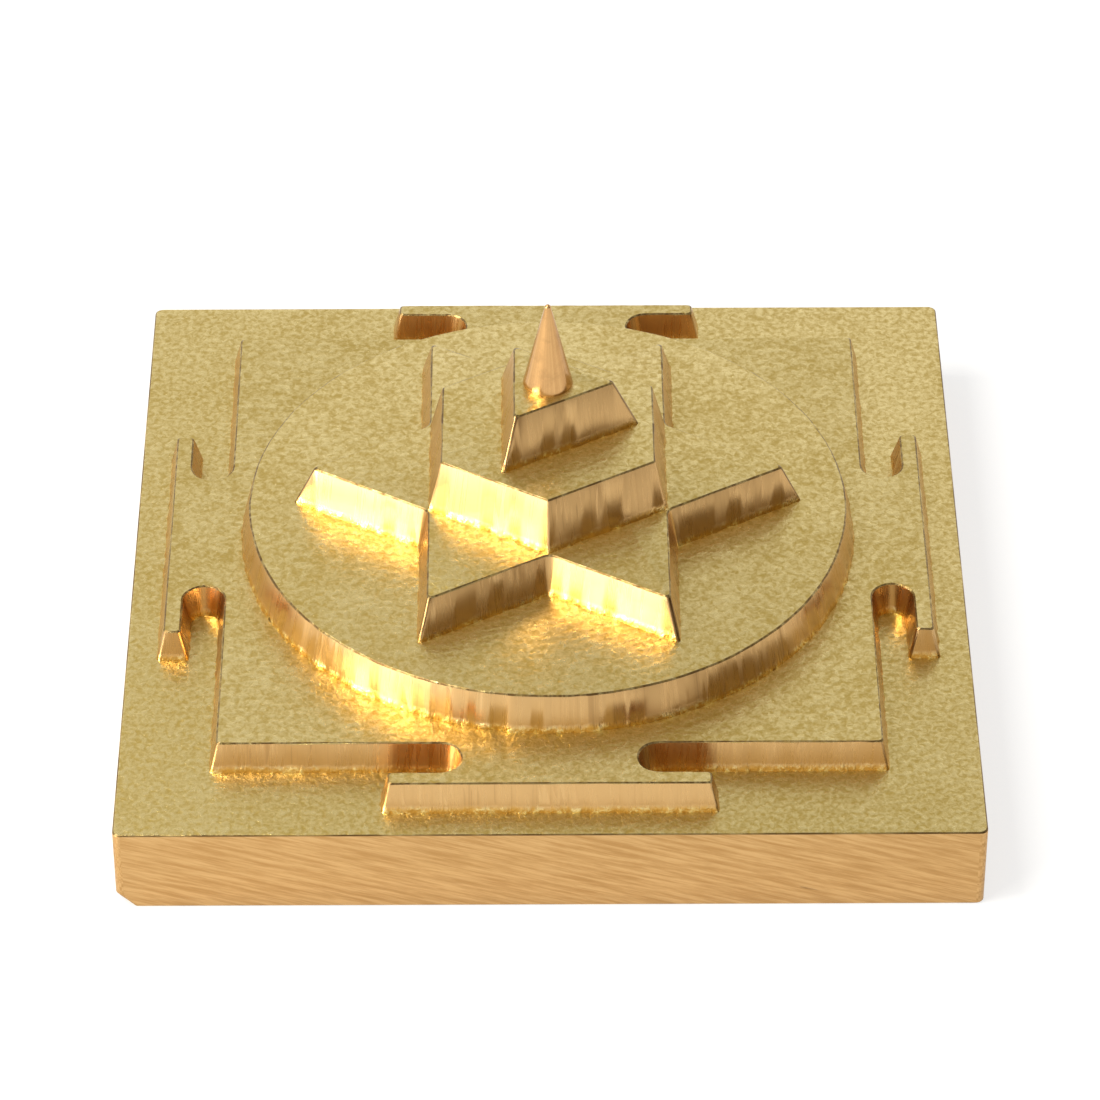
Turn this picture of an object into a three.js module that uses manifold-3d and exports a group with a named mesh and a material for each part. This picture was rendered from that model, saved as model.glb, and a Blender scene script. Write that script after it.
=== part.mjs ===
// A kuber yantra in brass: six stepped tiers on a square slab, with a small spike in the middle.
// Millimetres, +Z up, with the origin at the middle of the underside.
import * as THREE from "three";
import { mergeVertices } from "three/addons/utils/BufferGeometryUtils.js";
import Module from "manifold-3d";

// Driving dimensions: the slab
const slabSide = 76;
const slabThickness = 8.4;
const slabCornerRadius = 0.7;

// The lean of every tier's walls, in degrees, and the small break along top edges
const wallDraft = 13.5;
const edgeBreak = 0.12;
const outsideCornerRadius = 0.3;

// The square tier and its four gates, measured at their top
const squareSide = 58.4;
const squareHeight = 2.9;
const gateNeckWidth = 15.4;
const gateSlotWidth = 3.85;
const gateBarLength = 28.1;
const gateBarWidth = 1.5;

// The round tier
const discDiameter = 54.4;
const discHeight = 3.6;
const discSides = 96;

// The star, from the middle to a tip at its top
const starTipRadius = 21.5;
const starHeight = 3.9;
const starNotchRadius = 1.2;

// The hexagon, whose foot meets the star's notches
const hexagonHeight = 5;

// The triangle, from the middle to a tip at its top
const triangleTipRadius = 6.1;
const triangleHeight = 4.8;

// The spike and the blind hole that it stands in
const coneHeight = 8.6;
const coneFootRadius = 2.25;
const coneTipRadius = 0.28;
const shankRadius = 1.2;
const shankLength = 3;
const shankClearance = 0.3;
const turnedSides = 40;

// Points along one rounded corner
const cornerSteps = 6;

const draftSlope = Math.tan(THREE.MathUtils.degToRad(wallDraft));
const squareTop = slabThickness + squareHeight;
const discTop = squareTop + discHeight;
const starTop = discTop + starHeight;
const hexagonTop = starTop + hexagonHeight;
const triangleTop = hexagonTop + triangleHeight;

const wasm = await Module();
wasm.setup();

function brass(color, roughness) {
  return new THREE.MeshStandardMaterial({ color, roughness, metalness: 1 });
}

// Vertices that share a place become one, so that the surface is closed
function weld(geometry) {
  const plain = geometry.clone();
  plain.deleteAttribute("normal");
  plain.deleteAttribute("uv");
  return mergeVertices(plain);
}

function toSolid(geometry) {
  const welded = weld(geometry);
  const vertProperties = new Float32Array(welded.attributes.position.array);
  const triVerts = new Uint32Array(welded.index.array);
  return new wasm.Manifold(new wasm.Mesh({ numProp: 3, vertProperties, triVerts }));
}

function toGeometry(solid) {
  const mesh = solid.getMesh();
  const geometry = new THREE.BufferGeometry();
  geometry.setAttribute("position", new THREE.BufferAttribute(mesh.vertProperties, 3));
  geometry.setIndex(new THREE.BufferAttribute(mesh.triVerts, 1));
  return geometry;
}

// The unit direction from one corner to the next
function heading(from, to) {
  return to.clone().sub(from).normalize();
}

// One corner of an outline that runs anticlockwise, with its walls moved out by spread.
// A hollow corner's radius shrinks as the walls close in on it, as a leaning cutter leaves it.
function cornerPoints(corners, i, spread) {
  const corner = corners[i];
  const before = heading(corners[(i + corners.length - 1) % corners.length].at, corner.at);
  const after = heading(corner.at, corners[(i + 1) % corners.length].at);
  const cross = before.x * after.y - before.y * after.x;
  const turn = Math.atan2(cross, before.dot(after));
  const mitre = new THREE.Vector2(before.y + after.y, -before.x - after.x);
  mitre.multiplyScalar(spread / (1 + before.dot(after)));
  const sharp = corner.at.clone().add(mitre);
  const radius = turn < 0 ? corner.radius - spread : corner.radius;
  const reach = radius * Math.tan(Math.abs(turn) / 2);
  const start = sharp.clone().addScaledVector(before, -reach);
  const side = Math.sign(turn);
  const inward = new THREE.Vector2(-before.y, before.x).multiplyScalar(side);
  const center = start.clone().addScaledVector(inward, radius);
  const points = [];
  for (let k = 0; k <= cornerSteps; k += 1) {
    points.push(start.clone().rotateAround(center, (turn * k) / cornerSteps));
  }
  return points;
}

function outline(corners, spread) {
  return corners.flatMap((corner, i) => cornerPoints(corners, i, spread));
}

// Points that fall on the one before are dropped from every level alike
function dropRepeats(levels) {
  const tiny = 1e-5;
  const first = levels[0].points;
  const kept = first.map((p, i) => p.distanceTo(first[(i + first.length - 1) % first.length]) > tiny);
  return levels.map(({ z, points }) => ({ z, points: points.filter((p, i) => kept[i]) }));
}

// A closed block through its levels, which all have as many points
function stack(rawLevels) {
  const levels = dropRepeats(rawLevels);
  const count = levels[0].points.length;
  const place = levels.flatMap(({ z, points }) => points.flatMap((p) => [p.x, p.y, z]));
  const faces = [];
  for (let level = 0; level + 1 < levels.length; level += 1) {
    const low = level * count;
    const high = low + count;
    for (let i = 0; i < count; i += 1) {
      const j = (i + 1) % count;
      faces.push(low + i, low + j, high + j);
      faces.push(low + i, high + j, high + i);
    }
  }
  const lastStart = (levels.length - 1) * count;
  THREE.ShapeUtils.triangulateShape(levels[0].points, []).forEach(([a, b, c]) => faces.push(a, c, b));
  THREE.ShapeUtils.triangulateShape(levels[levels.length - 1].points, []).forEach(([a, b, c]) => {
    faces.push(lastStart + a, lastStart + b, lastStart + c);
  });
  const geometry = new THREE.BufferGeometry();
  geometry.setAttribute("position", new THREE.Float32BufferAttribute(place, 3));
  geometry.setIndex(faces);
  return geometry;
}

// A tier whose walls lean out towards its foot, with its top edge broken
function tier(outlineAt, height) {
  return stack([
    { z: 0, points: outlineAt(height * draftSlope) },
    { z: height - edgeBreak, points: outlineAt(edgeBreak * draftSlope) },
    { z: height, points: outlineAt(-edgeBreak) },
  ]);
}

function polar(radius, degrees) {
  const angle = THREE.MathUtils.degToRad(degrees);
  return new THREE.Vector2(radius * Math.cos(angle), radius * Math.sin(angle));
}

function polygonCorners(sides, tipRadius, firstAngle, radius) {
  const corners = [];
  for (let i = 0; i < sides; i += 1) {
    corners.push({ at: polar(tipRadius, firstAngle + (360 * i) / sides), radius });
  }
  return corners;
}

function baseSlab() {
  const corners = polygonCorners(4, slabSide * Math.SQRT1_2, 45, slabCornerRadius);
  return stack([
    { z: 0, points: outline(corners, -edgeBreak) },
    { z: edgeBreak, points: outline(corners, 0) },
    { z: slabThickness - edgeBreak, points: outline(corners, 0) },
    { z: slabThickness, points: outline(corners, -edgeBreak) },
  ]);
}

// The square's outline goes out round a T-shaped gate in the middle of each side
function gatedSquareCorners() {
  const edge = squareSide / 2;
  const neck = gateNeckWidth / 2;
  const barInner = edge + gateSlotWidth;
  const barOuter = barInner + gateBarWidth;
  const barEnd = gateBarLength / 2;
  const slotEndRadius = gateSlotWidth / 2;
  const side = [
    { at: new THREE.Vector2(edge, -edge), radius: outsideCornerRadius },
    { at: new THREE.Vector2(edge, -neck), radius: slotEndRadius },
    { at: new THREE.Vector2(barInner, -neck), radius: slotEndRadius },
    { at: new THREE.Vector2(barInner, -barEnd), radius: outsideCornerRadius },
    { at: new THREE.Vector2(barOuter, -barEnd), radius: outsideCornerRadius },
    { at: new THREE.Vector2(barOuter, barEnd), radius: outsideCornerRadius },
    { at: new THREE.Vector2(barInner, barEnd), radius: outsideCornerRadius },
    { at: new THREE.Vector2(barInner, neck), radius: slotEndRadius },
    { at: new THREE.Vector2(edge, neck), radius: slotEndRadius },
  ];
  const middle = new THREE.Vector2(0, 0);
  const corners = [];
  for (let quarter = 0; quarter < 4; quarter += 1) {
    side.forEach(({ at, radius }) => {
      corners.push({ at: at.clone().rotateAround(middle, (quarter * Math.PI) / 2), radius });
    });
  }
  return corners;
}

function gatedSquare() {
  const corners = gatedSquareCorners();
  return tier((spread) => outline(corners, spread), squareHeight);
}

function circle(radius) {
  const points = [];
  for (let i = 0; i < discSides; i += 1) {
    points.push(polar(radius, (360 * i) / discSides));
  }
  return points;
}

function roundDisc() {
  return tier((spread) => circle(discDiameter / 2 + spread), discHeight);
}

const starNotchAt = starTipRadius / Math.sqrt(3);

function sixPointStar() {
  const corners = [];
  for (let i = 0; i < 6; i += 1) {
    corners.push({ at: polar(starTipRadius, 60 * i), radius: outsideCornerRadius });
    corners.push({ at: polar(starNotchAt, 60 * i + 30), radius: starNotchRadius });
  }
  return tier((spread) => outline(corners, spread), starHeight);
}

// The hexagon's foot reaches the star's notches, and its lean sets its top
function hexagonBlock() {
  const footInset = (hexagonHeight * draftSlope) / Math.cos(Math.PI / 6);
  const corners = polygonCorners(6, starNotchAt - footInset, 30, outsideCornerRadius);
  return tier((spread) => outline(corners, spread), hexagonHeight);
}

// The triangle has a blind hole for the spike's shank
function triangleBlock() {
  const corners = polygonCorners(3, triangleTipRadius, 0, outsideCornerRadius);
  const body = tier((spread) => outline(corners, spread), triangleHeight);
  const holeDepth = shankLength + shankClearance;
  const above = 1;
  const holeRadius = shankRadius + shankClearance;
  const drill = new THREE.CylinderGeometry(holeRadius, holeRadius, holeDepth + above, turnedSides);
  drill.rotateX(Math.PI / 2);
  drill.translate(0, 0, triangleHeight + (above - holeDepth) / 2);
  return toGeometry(toSolid(body).subtract(toSolid(drill)));
}

function binduCone() {
  const tipSteps = 4;
  const profile = [
    new THREE.Vector2(0, -shankLength),
    new THREE.Vector2(shankRadius, -shankLength),
    new THREE.Vector2(shankRadius, 0),
    new THREE.Vector2(coneFootRadius, 0),
  ];
  for (let k = 0; k < tipSteps; k += 1) {
    const angle = (k / tipSteps) * (Math.PI / 2);
    const height = coneHeight - coneTipRadius + coneTipRadius * Math.sin(angle);
    profile.push(new THREE.Vector2(coneTipRadius * Math.cos(angle), height));
  }
  profile.push(new THREE.Vector2(0, coneHeight));
  const geometry = new THREE.LatheGeometry(profile, turnedSides);
  return geometry.rotateX(Math.PI / 2);
}

function named(name, geometry, material, z) {
  const mesh = new THREE.Mesh(geometry, material);
  mesh.name = name;
  mesh.position.z = z;
  return mesh;
}

const yantra = new THREE.Group();
yantra.add(named("base_slab", baseSlab(), brass(0xc9a767, 0.42), 0));
yantra.add(named("gated_square", gatedSquare(), brass(0xc3aa5f, 0.4), slabThickness));
yantra.add(named("round_disc", roundDisc(), brass(0xc5a961, 0.38), squareTop));
yantra.add(named("six_point_star", sixPointStar(), brass(0xc8ad63, 0.38), discTop));
yantra.add(named("hexagon_block", hexagonBlock(), brass(0xc6aa60, 0.36), starTop));
yantra.add(named("triangle_block", triangleBlock(), brass(0xcaae66, 0.36), hexagonTop));
yantra.add(named("bindu_cone", binduCone(), brass(0xb98a4a, 0.28), triangleTop));

export default yantra;
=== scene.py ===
import math

import bmesh
import bpy
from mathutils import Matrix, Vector, noise


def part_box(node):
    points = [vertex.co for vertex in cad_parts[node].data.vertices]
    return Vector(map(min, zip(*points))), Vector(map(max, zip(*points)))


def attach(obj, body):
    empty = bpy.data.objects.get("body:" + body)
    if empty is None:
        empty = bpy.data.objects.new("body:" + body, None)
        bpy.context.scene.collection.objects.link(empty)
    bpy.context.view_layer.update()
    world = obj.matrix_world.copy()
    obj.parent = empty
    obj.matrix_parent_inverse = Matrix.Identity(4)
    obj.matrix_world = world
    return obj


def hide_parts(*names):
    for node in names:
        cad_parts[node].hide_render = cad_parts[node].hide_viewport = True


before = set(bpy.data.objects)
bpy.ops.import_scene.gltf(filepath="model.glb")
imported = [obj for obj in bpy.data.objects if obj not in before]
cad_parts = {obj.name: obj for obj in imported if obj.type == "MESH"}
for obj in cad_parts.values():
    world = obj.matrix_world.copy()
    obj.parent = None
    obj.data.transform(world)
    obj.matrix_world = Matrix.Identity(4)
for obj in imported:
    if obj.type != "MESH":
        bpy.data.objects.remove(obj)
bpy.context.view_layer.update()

MM = 0.001

# The camera, worked out from the slab's corners in the photograph
CAMERA_AIM = Vector((0.0002, 0.0003, 0.0088))
CAMERA_DISTANCE = 0.4961
CAMERA_AZIMUTH = math.radians(0.34)
CAMERA_ELEVATION = math.radians(39.45)
CAMERA_LENS = 176.4
CAMERA_SENSOR = 36.0

# Finish of edges
SHARP_ANGLE = math.radians(24)
EDGE_ROUND = 0.045 * MM
SLIVER = 0.002 * MM
TOP_EDGE_DEPTH = 0.2 * MM
TOP_WAVE = 0.07 * MM
TOP_WAVE_PITCH = 1.5 * MM
FOOT_WAVE = 0.17 * MM
FOOT_WAVE_PITCH = 0.9 * MM
WALL_STEP = 0.6 * MM
DUBBED_CORNER = 0.95 * MM
GRAIN_SLOPE = math.radians(16)
DUBBED_ROUND = 0.8 * MM
FOOT_BAND = 1.0 * MM

# Colours, as linear red, green and blue
# Floor colours: the mottle between them is partly the skin's own tone and partly painted sheen
FLOOR_BRASS = (0.72, 0.535, 0.175)
FLOOR_BRASS_PALE = (0.93, 0.77, 0.38)
FLOOR_BRASS_DARK = (0.47, 0.32, 0.065)
# The wall colours are darker and redder than the floor colours: painted shade on the side faces of the same
# brass
WALL_BRASS = (0.60, 0.375, 0.155)
WALL_BRASS_DARK = (0.30, 0.165, 0.065)
WALL_BRASS_PALE = (0.82, 0.56, 0.26)
FOOT_AMBER = (0.64, 0.36, 0.07)
# Pale brass for painted glints on the floor specks and on the grains at the foot of the walls
PAINTED_GLINT_PALE = (0.92, 0.73, 0.31)
# The slab side colours are darker and redder than the floor colours: painted shade on the sides
SLAB_SIDE_BRASS = (0.55, 0.325, 0.122)
SLAB_SIDE_DARK = (0.37, 0.195, 0.06)
SLAB_SIDE_PALE = (0.69, 0.44, 0.195)
CONE_BRASS = (0.64, 0.345, 0.13)
# A brown for real pits on the slab's sides, for painted shade on the tiers' narrow edge faces, and for darker
# patches on the slab's edges
PIT_AND_SHADE_BROWN = (0.13, 0.07, 0.025)

# Patterns: grains of the milled skin and lines on the walls, per metre
SKIN_PITCH = 1900.0
LINE_PITCH = 1400.0
SKIN_BUMP = 0.07 * MM


# Node helpers

def new_group(name, inputs, outputs):
    group = bpy.data.node_groups.new(name, "ShaderNodeTree")
    for label, kind, default in inputs:
        socket = group.interface.new_socket(label, in_out="INPUT", socket_type=kind)
        if default is not None:
            socket.default_value = default
    for label, kind in outputs:
        group.interface.new_socket(label, in_out="OUTPUT", socket_type=kind)
    return group, group.nodes.new("NodeGroupInput"), group.nodes.new("NodeGroupOutput")


def add_node(tree, kind, settings=None, **sockets):
    node = tree.nodes.new(kind)
    for key, value in (settings or {}).items():
        setattr(node, key, value)
    for label, value in sockets.items():
        place(tree, node.inputs[label.replace("_", " ")], value)
    return node


def place(tree, socket, value):
    if isinstance(value, bpy.types.NodeSocket):
        tree.links.new(value, socket)
    else:
        socket.default_value = value


def math_node(tree, operation, first, second=0.0, clamp=False):
    node = tree.nodes.new("ShaderNodeMath")
    node.operation = operation
    node.use_clamp = clamp
    place(tree, node.inputs[0], first)
    place(tree, node.inputs[1], second)
    return node.outputs[0]


def vector_node(tree, operation, first, second):
    node = tree.nodes.new("ShaderNodeVectorMath")
    node.operation = operation
    place(tree, node.inputs[0], first)
    place(tree, node.inputs[1], second)
    return node


def remap(tree, value, low, high, to_low=0.0, to_high=1.0):
    node = tree.nodes.new("ShaderNodeMapRange")
    node.interpolation_type = "SMOOTHSTEP"
    place(tree, node.inputs["Value"], value)
    node.inputs["From Min"].default_value = low
    node.inputs["From Max"].default_value = high
    node.inputs["To Min"].default_value = to_low
    node.inputs["To Max"].default_value = to_high
    return node.outputs["Result"]


def mix_color(tree, factor, first, second):
    node = tree.nodes.new("ShaderNodeMix")
    node.data_type = "RGBA"
    place(tree, node.inputs["Factor"], factor)
    for name, value in (("A", first), ("B", second)):
        socket = next(s for s in node.inputs if s.name == name and s.type == "RGBA")
        place(tree, socket, value if isinstance(value, bpy.types.NodeSocket) else (*value, 1.0))
    return next(s for s in node.outputs if s.type == "RGBA")


def noise_node(tree, vector, scale, detail, roughness=0.55, distortion=0.0):
    return add_node(
        tree, "ShaderNodeTexNoise", {"noise_dimensions": "3D"},
        Vector=vector, Scale=scale, Detail=detail, Roughness=roughness, Distortion=distortion,
    ).outputs["Fac"]


# The milled floors: a mottled skin, faint arcs left by the cutter, and small specks; the mottle's colour is
# partly painted sheen and the specks are painted glints
def milled_skin_group():
    group, given, result = new_group(
        "milled_skin",
        [("Vector", "NodeSocketVector", None), ("Pitch", "NodeSocketFloat", SKIN_PITCH)],
        [("Height", "NodeSocketFloat"), ("Mottle", "NodeSocketFloat"), ("Specks", "NodeSocketFloat")],
    )
    point = given.outputs["Vector"]
    pitch = given.outputs["Pitch"]
    coarse = noise_node(group, point, pitch, 3.0, 0.65, 0.5)
    fine = noise_node(group, point, math_node(group, "MULTIPLY", pitch, 2.3), 2.0, 0.6)
    broad = noise_node(group, point, math_node(group, "MULTIPLY", pitch, 0.06), 3.0, 0.6)
    arcs = add_node(
        group, "ShaderNodeTexWave", {"wave_type": "RINGS", "rings_direction": "Z"},
        Vector=vector_node(group, "ADD", point, (0.021, -0.034, 0.0)).outputs[0],
        Scale=math_node(group, "MULTIPLY", pitch, 0.16), Distortion=5.0, Detail=2.0,
        Detail_Scale=1.4, Detail_Roughness=0.6,
    ).outputs["Fac"]
    height = math_node(group, "ADD", coarse, math_node(group, "MULTIPLY", fine, 0.35))
    height = math_node(group, "ADD", height, math_node(group, "MULTIPLY", arcs, 0.16))
    group.links.new(height, result.inputs["Height"])
    mottle = math_node(group, "ADD", math_node(group, "MULTIPLY", coarse, 0.8),
                       math_node(group, "MULTIPLY", broad, 0.2))
    group.links.new(mottle, result.inputs["Mottle"])
    cells = add_node(group, "ShaderNodeTexVoronoi", {"feature": "F1"},
                     Vector=point, Scale=math_node(group, "MULTIPLY", pitch, 1.3)).outputs["Distance"]
    chosen = noise_node(group, point, math_node(group, "MULTIPLY", pitch, 0.7), 1.0)
    near = remap(group, cells, 0.12, 0.24, 1.0, 0.0)
    specks = math_node(group, "MULTIPLY", near, remap(group, chosen, 0.56, 0.64))
    group.links.new(specks, result.inputs["Specks"])
    return group


# Lines left on a wall by the cutter: they run up the wall and change only along it
def cutter_lines_group():
    group, given, result = new_group(
        "cutter_lines",
        [("Along", "NodeSocketFloat", 0.0), ("Lines", "NodeSocketFloat", LINE_PITCH)],
        [("Height", "NodeSocketFloat"), ("Tone", "NodeSocketFloat")],
    )
    along = given.outputs["Along"]
    lines = given.outputs["Lines"]
    narrow = add_node(group, "ShaderNodeTexNoise", {"noise_dimensions": "1D"},
                      W=along, Scale=lines, Detail=3.0, Roughness=0.7).outputs["Fac"]
    wide = add_node(group, "ShaderNodeTexNoise", {"noise_dimensions": "1D"},
                    W=along, Scale=math_node(group, "MULTIPLY", lines, 0.22), Detail=2.0,
                    Roughness=0.6).outputs["Fac"]
    group.links.new(narrow, result.inputs["Height"])
    tone = math_node(group, "ADD", math_node(group, "MULTIPLY", narrow, 0.5),
                     math_node(group, "MULTIPLY", wide, 0.5))
    group.links.new(tone, result.inputs["Tone"])
    return group


MILLED_SKIN = milled_skin_group()
CUTTER_LINES = cutter_lines_group()


def use_group(tree, group, **sockets):
    node = tree.nodes.new("ShaderNodeGroup")
    node.node_tree = group
    for label, value in sockets.items():
        place(tree, node.inputs[label], value)
    return node


# How far along a wall a point lies: by its flat face's own direction, or round the middle
def along_wall(tree, point, round_radius):
    if round_radius:
        split = add_node(tree, "ShaderNodeSeparateXYZ", Vector=point)
        angle = math_node(tree, "ARCTAN2", split.outputs["Y"], split.outputs["X"])
        return math_node(tree, "MULTIPLY", angle, round_radius)
    facing = add_node(tree, "ShaderNodeNewGeometry").outputs["True Normal"]
    across = vector_node(tree, "CROSS_PRODUCT", facing, (0.0, 0.0, 1.0)).outputs[0]
    across = vector_node(tree, "NORMALIZE", across, (0.0, 0.0, 0.0)).outputs[0]
    return vector_node(tree, "DOT_PRODUCT", point, across).outputs["Value"]


def wall_mask(tree):
    facing = add_node(tree, "ShaderNodeNewGeometry").outputs["True Normal"]
    rise = add_node(tree, "ShaderNodeSeparateXYZ", Vector=facing).outputs["Z"]
    return remap(tree, math_node(tree, "ABSOLUTE", rise), 0.45, 0.8, 1.0, 0.0)


def floor_finish(tree, skin):
    # The mottle is partly the skin's own tone and partly painted sheen, standing in for light playing on its
    # bumps
    color = mix_color(tree, remap(tree, skin.outputs["Mottle"], 0.33, 0.67), FLOOR_BRASS_DARK, FLOOR_BRASS_PALE)
    color = mix_color(tree, 0.35, color, FLOOR_BRASS)
    # Painted glints: small pale specks on the floors
    color = mix_color(tree, skin.outputs["Specks"], color, PAINTED_GLINT_PALE)
    return color, remap(tree, skin.outputs["Mottle"], 0.35, 0.65, 0.38, 0.27)


# The narrow faces between a floor and a wall
def edge_mask(tree):
    facing = add_node(tree, "ShaderNodeNewGeometry").outputs["True Normal"]
    rise = add_node(tree, "ShaderNodeSeparateXYZ", Vector=facing).outputs["Z"]
    rise = math_node(tree, "ABSOLUTE", rise)
    return math_node(tree, "MULTIPLY", remap(tree, rise, 0.27, 0.4), remap(tree, rise, 0.93, 0.98, 1.0, 0.0))


def mix_number(tree, factor, first, second):
    node = tree.nodes.new("ShaderNodeMix")
    place(tree, node.inputs["Factor"], factor)
    place(tree, node.inputs["A"], first)
    place(tree, node.inputs["B"], second)
    return node.outputs["Result"]


def brass_material(name):
    material = bpy.data.materials.new(name)
    material.use_nodes = True
    tree = material.node_tree
    shader = tree.nodes["Principled BSDF"]
    shader.inputs["Metallic"].default_value = 1.0
    point = add_node(tree, "ShaderNodeTexCoord").outputs["Object"]
    return material, tree, shader, point


def set_bump(tree, shader, strength, distance, height):
    bump = add_node(tree, "ShaderNodeBump", Strength=strength, Distance=distance, Height=height)
    tree.links.new(bump.outputs["Normal"], shader.inputs["Normal"])


def milled_brass(name, foot, round_radius=0.0, wall_tint=WALL_BRASS):
    material, tree, shader, point = brass_material(name)
    skin = use_group(tree, MILLED_SKIN, Vector=point, Pitch=SKIN_PITCH)
    lines = use_group(tree, CUTTER_LINES, Along=along_wall(tree, point, round_radius), Lines=LINE_PITCH)
    wall = wall_mask(tree)
    floor_color, floor_rough = floor_finish(tree, skin)
    tone = lines.outputs["Tone"]
    wall_color = mix_color(tree, remap(tree, tone, 0.57, 0.66), wall_tint, WALL_BRASS_DARK)
    wall_color = mix_color(tree, remap(tree, tone, 0.32, 0.42, 1.0, 0.0), wall_color, WALL_BRASS_PALE)
    wall_color = mix_color(tree, 0.62, wall_color, wall_tint)
    height = add_node(tree, "ShaderNodeSeparateXYZ", Vector=point).outputs["Z"]
    ragged = math_node(tree, "SUBTRACT", height, math_node(tree, "MULTIPLY", tone, 0.9 * MM))
    band = remap(tree, ragged, foot - 0.25 * MM, foot + FOOT_BAND - 0.65 * MM, 1.0, 0.0)
    # Painted glints: the high grains of the skin in the foot band turn pale
    grains = remap(tree, skin.outputs["Height"], 0.74, 0.94)
    foot_color = mix_color(tree, grains, FOOT_AMBER, PAINTED_GLINT_PALE)
    wall_color = mix_color(tree, math_node(tree, "MULTIPLY", band, 0.85), wall_color, foot_color)
    # Painted shade: the walls take a darker, redder brass than the floors of the same block, on top of their
    # cutter lines
    color = mix_color(tree, wall, floor_color, wall_color)
    # Painted shade: the narrow faces along the top edges and the foot are darkened towards brown, dimming the
    # highlight on the top edges and darkening the crease at the foot
    edge = math_node(tree, "MULTIPLY", edge_mask(tree), remap(tree, tone, 0.35, 0.6, 0.5, 0.95))
    color = mix_color(tree, edge, color, PIT_AND_SHADE_BROWN)
    tree.links.new(color, shader.inputs["Base Color"])
    wall_rough = remap(tree, tone, 0.3, 0.7, 0.22, 0.36)
    tree.links.new(mix_number(tree, wall, floor_rough, wall_rough), shader.inputs["Roughness"])
    smooth_wall = math_node(tree, "MULTIPLY", lines.outputs["Height"], 0.13)
    rough_foot = math_node(tree, "MULTIPLY", skin.outputs["Height"], 1.6)
    wall_height = mix_number(tree, band, smooth_wall, rough_foot)
    set_bump(tree, shader, 0.7, SKIN_BUMP, mix_number(tree, wall, skin.outputs["Height"], wall_height))
    return material


# The slab: a milled top, and sides with a fine slanted grain and a few dark pits
def linished_brass(name):
    material, tree, shader, point = brass_material(name)
    skin = use_group(tree, MILLED_SKIN, Vector=point, Pitch=SKIN_PITCH)
    wall = wall_mask(tree)
    height = add_node(tree, "ShaderNodeSeparateXYZ", Vector=point).outputs["Z"]
    flat = add_node(tree, "ShaderNodeCombineXYZ", X=along_wall(tree, point, 0.0), Y=height).outputs[0]
    turned = add_node(tree, "ShaderNodeMapping", Vector=flat, Rotation=(0.0, 0.0, -GRAIN_SLOPE)).outputs[0]
    drawn = add_node(tree, "ShaderNodeMapping", Vector=turned, Scale=(150.0, 2300.0, 1.0)).outputs[0]
    grain = noise_node(tree, drawn, 1.0, 4.0, 0.7)
    patches = noise_node(tree, point, 130.0, 3.0, 0.6)
    cells = add_node(tree, "ShaderNodeTexVoronoi", {"feature": "F1"}, Vector=drawn, Scale=0.5)
    pits = remap(tree, cells.outputs["Distance"], 0.06, 0.12, 1.0, 0.0)
    pits = math_node(tree, "MULTIPLY", pits, remap(tree, patches, 0.52, 0.6))
    floor_color, floor_rough = floor_finish(tree, skin)
    side_color = mix_color(tree, remap(tree, grain, 0.32, 0.68), SLAB_SIDE_DARK, SLAB_SIDE_PALE)
    side_color = mix_color(tree, 0.5, side_color, SLAB_SIDE_BRASS)
    side_color = mix_color(tree, math_node(tree, "MULTIPLY", pits, 0.6), side_color, PIT_AND_SHADE_BROWN)
    # Painted shade: the sides take a darker, redder brass than the top, on top of their grain and pits
    color = mix_color(tree, wall, floor_color, side_color)
    # Darker in patches on the narrow edge faces
    darker_edge_patches = math_node(tree, "MULTIPLY", edge_mask(tree), remap(tree, patches, 0.35, 0.6, 0.35, 0.95))
    color = mix_color(tree, darker_edge_patches, color, PIT_AND_SHADE_BROWN)
    tree.links.new(color, shader.inputs["Base Color"])
    side_rough = remap(tree, grain, 0.3, 0.7, 0.5, 0.38)
    tree.links.new(mix_number(tree, wall, floor_rough, side_rough), shader.inputs["Roughness"])
    side_height = math_node(tree, "SUBTRACT", math_node(tree, "MULTIPLY", grain, 0.35), pits)
    set_bump(tree, shader, 0.7, SKIN_BUMP, mix_number(tree, wall, skin.outputs["Height"], side_height))
    return material


# The spike: smooth, with fine lines that run from its foot to its tip
def turned_brass(name):
    material, tree, shader, point = brass_material(name)
    lines = use_group(tree, CUTTER_LINES, Along=along_wall(tree, point, 2.0 * MM), Lines=1800.0)
    tarnish = noise_node(tree, point, 600.0, 3.0, 0.6)
    color = mix_color(tree, remap(tree, lines.outputs["Tone"], 0.3, 0.7), WALL_BRASS_DARK, WALL_BRASS_PALE)
    color = mix_color(tree, 0.65, color, CONE_BRASS)
    color = mix_color(tree, remap(tree, tarnish, 0.45, 0.75, 0.0, 0.4), color, WALL_BRASS_DARK)
    tree.links.new(color, shader.inputs["Base Color"])
    tree.links.new(remap(tree, lines.outputs["Tone"], 0.3, 0.7, 0.22, 0.13), shader.inputs["Roughness"])
    set_bump(tree, shader, 0.35, 0.02 * MM, lines.outputs["Height"])
    return material


# Pieces

def solid_copy(node):
    bm = bmesh.new()
    bm.from_mesh(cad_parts[node].data)
    bmesh.ops.remove_doubles(bm, verts=bm.verts[:], dist=1e-6)
    bmesh.ops.dissolve_limit(bm, angle_limit=math.radians(0.4), verts=bm.verts[:], edges=bm.edges[:])
    return bm


def sharp_edges(bm):
    return [e for e in bm.edges if len(e.link_faces) == 2 and e.calc_face_angle(0.0) > SHARP_ANGLE]


def round_edges(bm, width):
    bmesh.ops.bevel(bm, geom=sharp_edges(bm), affect="EDGES", offset=width, offset_type="OFFSET",
                    segments=2, profile=0.5, material=-1, clamp_overlap=True)


def is_wall(face):
    return abs(face.normal.z) < 0.5


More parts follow.
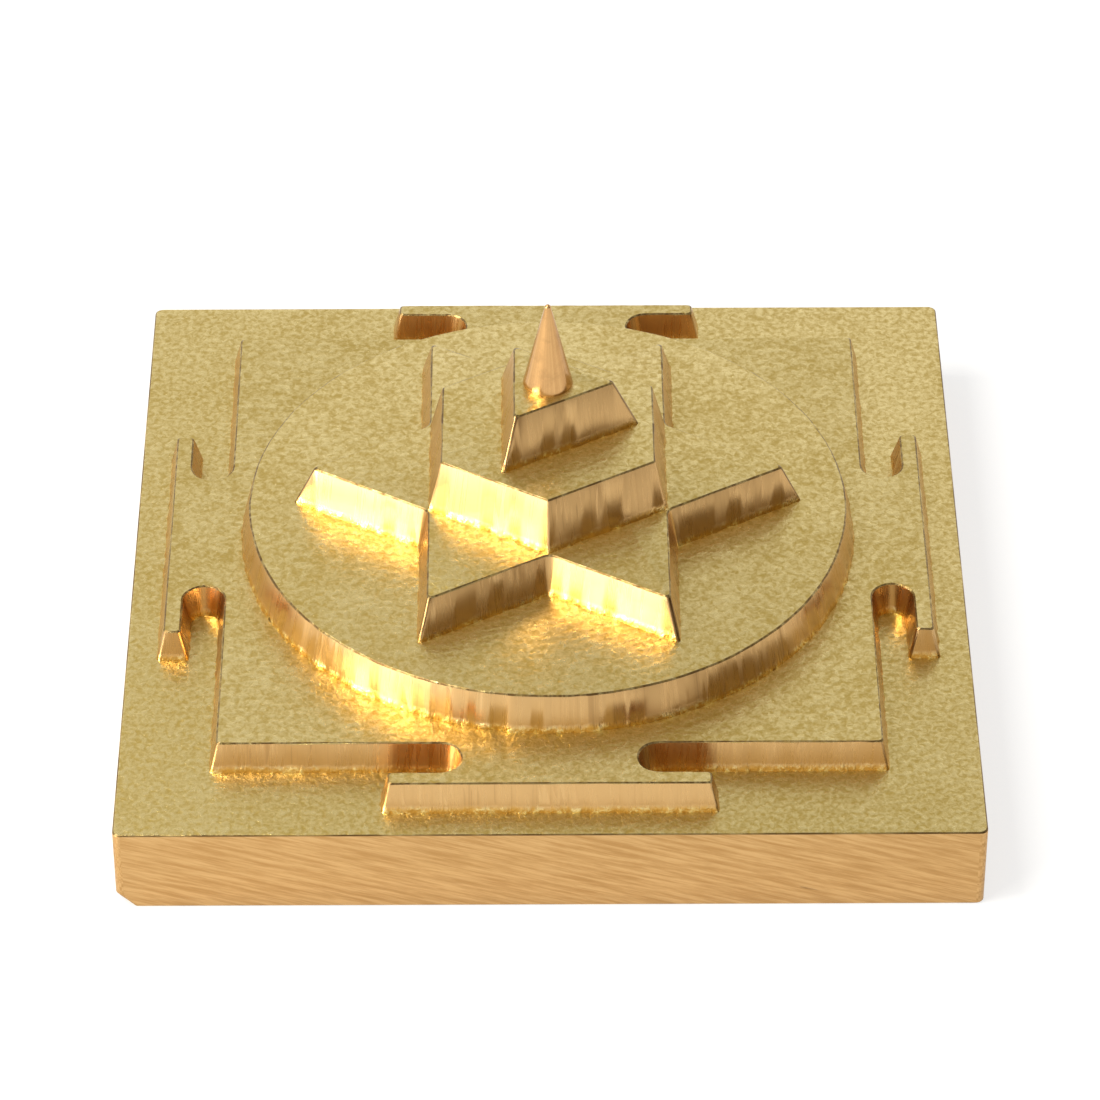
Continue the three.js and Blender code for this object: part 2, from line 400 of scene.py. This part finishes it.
# Walls are cut into upright strips, so that each strip can lie a little differently
def strip_walls(bm, reach):
    steps = math.ceil(reach / WALL_STEP)
    for axis in (Vector((1.0, 0.0, 0.0)), Vector((0.0, 1.0, 0.0))):
        for k in range(-steps, steps + 1):
            walls = [f for f in bm.faces if is_wall(f) and abs(f.normal.dot(axis)) < 0.75]
            parts = list({v for f in walls for v in f.verts}) + list({e for f in walls for e in f.edges}) + walls
            bmesh.ops.bisect_plane(bm, geom=parts, plane_co=axis * (k + 0.37) * WALL_STEP, plane_no=axis)


# Top edges wander a little, and the foot is ragged, as a small cutter leaves them
def waver(bm, low, high, seed):
    drift = Vector((seed * 7.3, seed * 3.1, 0.0))
    for vert in bm.verts:
        flat = Vector((vert.co.x, vert.co.y, 0.0))
        if vert.co.z > high - TOP_EDGE_DEPTH:
            vert.co += noise.noise_vector(flat / TOP_WAVE_PITCH + drift) * Vector((1, 1, 0)) * TOP_WAVE
        elif vert.co.z < low + TOP_EDGE_DEPTH and flat.length > 0:
            out = noise.noise(flat / FOOT_WAVE_PITCH + drift) * FOOT_WAVE
            vert.co += flat.normalized() * out


def finish_piece(bm, name, node, material):
    for edge in bm.edges:
        edge.smooth = edge.calc_face_angle(0.0) < SHARP_ANGLE if len(edge.link_faces) == 2 else False
    for face in bm.faces:
        face.smooth = True
    mesh = bpy.data.meshes.new(name)
    bm.to_mesh(mesh)
    bm.free()
    mesh.materials.append(material)
    piece = bpy.data.objects.new(name, mesh)
    bpy.context.scene.collection.objects.link(piece)
    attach(piece, "root")
    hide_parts(node)
    return piece


def tier_piece(node, material, seed):
    low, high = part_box(node)
    bm = solid_copy(node)
    strip_walls(bm, high.x)
    waver(bm, low.z, high.z, seed)
    bmesh.ops.recalc_face_normals(bm, faces=bm.faces[:])
    round_edges(bm, EDGE_ROUND)
    bmesh.ops.remove_doubles(bm, verts=bm.verts[:], dist=SLIVER)
    bmesh.ops.dissolve_degenerate(bm, dist=SLIVER, edges=bm.edges[:])
    return finish_piece(bm, node + "_milled", node, material)


# The slab's lower front left corner is knocked off
def slab_piece(material):
    low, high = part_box("base_slab")
    bm = solid_copy("base_slab")
    normal = Vector((-1.0, -1.0, -1.0)).normalized()
    cut_at = Vector((low.x + DUBBED_CORNER, low.y + DUBBED_CORNER, low.z))
    cut = bmesh.ops.bisect_plane(bm, geom=bm.verts[:] + bm.edges[:] + bm.faces[:], plane_co=cut_at,
                                 plane_no=normal, clear_outer=True)
    rim = [e for e in cut["geom_cut"] if isinstance(e, bmesh.types.BMEdge)]
    bmesh.ops.contextual_create(bm, geom=rim)
    bmesh.ops.recalc_face_normals(bm, faces=bm.faces[:])
    bmesh.ops.bevel(bm, geom=rim, affect="EDGES", offset=DUBBED_ROUND, offset_type="OFFSET",
                    segments=4, profile=0.5, material=-1, clamp_overlap=True)
    round_edges(bm, 0.1 * MM)
    return finish_piece(bm, "base_slab_milled", "base_slab", material)


def cone_piece(material):
    bm = solid_copy("bindu_cone")
    round_edges(bm, 0.03 * MM)
    return finish_piece(bm, "bindu_cone_turned", "bindu_cone", material)


def build_object():
    slab_piece(linished_brass("linished_brass"))
    flat_tiers = ("gated_square", "six_point_star", "hexagon_block", "triangle_block")
    for seed, node in enumerate(flat_tiers):
        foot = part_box(node)[0].z
        tier_piece(node, milled_brass(node + "_brass", foot), seed)
    disc_low, disc_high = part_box("round_disc")
    disc_brass = milled_brass("round_disc_brass", disc_low.z, disc_high.x)
    tier_piece("round_disc", disc_brass, len(flat_tiers))
    cone_piece(turned_brass("bindu_cone_brass"))


# Studio

def make_camera():
    data = bpy.data.cameras.new("camera")
    data.lens = CAMERA_LENS
    data.sensor_width = CAMERA_SENSOR
    camera = bpy.data.objects.new("camera", data)
    flat = math.cos(CAMERA_ELEVATION)
    back = Vector((-math.sin(CAMERA_AZIMUTH) * flat, -math.cos(CAMERA_AZIMUTH) * flat,
                   math.sin(CAMERA_ELEVATION)))
    camera.location = CAMERA_AIM + back * CAMERA_DISTANCE
    camera.rotation_mode = "QUATERNION"
    camera.rotation_quaternion = (-back).to_track_quat("-Z", "Y")
    bpy.context.scene.collection.objects.link(camera)
    bpy.context.scene.camera = camera


def seen_rays(tree):
    path = tree.nodes.new("ShaderNodeLightPath")
    seen = math_node(tree, "ADD", path.outputs["Is Camera Ray"], path.outputs["Is Glossy Ray"], clamp=True)
    return math_node(tree, "ADD", seen, path.outputs["Is Transmission Ray"], clamp=True)


# White around the horizon, dimmer overhead
def make_world():
    world = bpy.data.worlds.new("studio")
    bpy.context.scene.world = world
    world.use_nodes = True
    tree = world.node_tree
    tree.nodes.clear()
    direction = add_node(tree, "ShaderNodeTexCoord").outputs["Generated"]
    rise = add_node(tree, "ShaderNodeSeparateXYZ", Vector=direction).outputs["Z"]
    overhead = remap(tree, rise, 0.35, 0.95)
    background = mix_color(tree, overhead, (1.0, 1.0, 1.0), (0.5, 0.49, 0.46))
    shown = add_node(tree, "ShaderNodeBackground", Color=background, Strength=1.0)
    fill = add_node(tree, "ShaderNodeBackground", Color=(1.0, 0.99, 0.97, 1.0), Strength=0.45)
    mixed = tree.nodes.new("ShaderNodeMixShader")
    place(tree, mixed.inputs[0], seen_rays(tree))
    tree.links.new(fill.outputs[0], mixed.inputs[1])
    tree.links.new(shown.outputs[0], mixed.inputs[2])
    out = tree.nodes.new("ShaderNodeOutputWorld")
    tree.links.new(mixed.outputs[0], out.inputs["Surface"])


def make_floor():
    bm = bmesh.new()
    bmesh.ops.create_grid(bm, x_segments=1, y_segments=1, size=3.0)
    mesh = bpy.data.meshes.new("floor")
    bm.to_mesh(mesh)
    bm.free()
    floor = bpy.data.objects.new("floor", mesh)
    floor.location.z = -0.02 * MM
    bpy.context.scene.collection.objects.link(floor)
    material = bpy.data.materials.new("pale_floor")
    material.use_nodes = True
    tree = material.node_tree
    shader = tree.nodes["Principled BSDF"]
    shader.inputs["Base Color"].default_value = (0.45, 0.45, 0.445, 1.0)
    shader.inputs["Roughness"].default_value = 0.9
    shader.inputs["Emission Color"].default_value = (1.0, 1.0, 1.0, 1.0)
    tree.links.new(math_node(tree, "MULTIPLY", seen_rays(tree), 0.68), shader.inputs["Emission Strength"])
    mesh.materials.append(material)


def make_lamp(name, azimuth, elevation, distance, size, power, color):
    data = bpy.data.lights.new(name, "AREA")
    data.shape = "RECTANGLE"
    data.size, data.size_y = size
    data.energy = power
    data.color = color
    lamp = bpy.data.objects.new(name, data)
    a, e = math.radians(azimuth), math.radians(elevation)
    away = Vector((math.cos(a) * math.cos(e), math.sin(a) * math.cos(e), math.sin(e)))
    lamp.location = away * distance
    lamp.rotation_mode = "QUATERNION"
    lamp.rotation_quaternion = (-away).to_track_quat("-Z", "Y")
    bpy.context.scene.collection.objects.link(lamp)


# A brown card beside the camera on the right, which only the brass sees
def make_card():
    bm = bmesh.new()
    bmesh.ops.create_grid(bm, x_segments=1, y_segments=1, size=0.5)
    mesh = bpy.data.meshes.new("brown_card")
    bm.to_mesh(mesh)
    bm.free()
    card = bpy.data.objects.new("brown_card", mesh)
    a, e = math.radians(-35), math.radians(16)
    away = Vector((math.cos(a) * math.cos(e), math.sin(a) * math.cos(e), math.sin(e)))
    card.location = away * 0.62
    card.rotation_mode = "QUATERNION"
    card.rotation_quaternion = (-away).to_track_quat("-Z", "Y")
    card.scale = (0.8, 0.5, 1.0)
    bpy.context.scene.collection.objects.link(card)
    material = bpy.data.materials.new("card_brown")
    material.use_nodes = True
    shader = material.node_tree.nodes["Principled BSDF"]
    shader.inputs["Base Color"].default_value = (0.22, 0.16, 0.1, 1.0)
    shader.inputs["Roughness"].default_value = 1.0
    mesh.materials.append(material)
    card.visible_camera = False
    card.visible_shadow = False
    card.visible_diffuse = False


build_object()
make_camera()
make_world()
make_floor()
make_card()
make_lamp("front_left_softbox", 214, 12, 0.6, (0.3, 0.2), 3.6, (1.0, 0.98, 0.95))
make_lamp("upper_left_softbox", 189, 60, 0.6, (0.26, 0.26), 2.3, (1.0, 0.98, 0.93))
bpy.context.scene.view_settings.view_transform = "Standard"
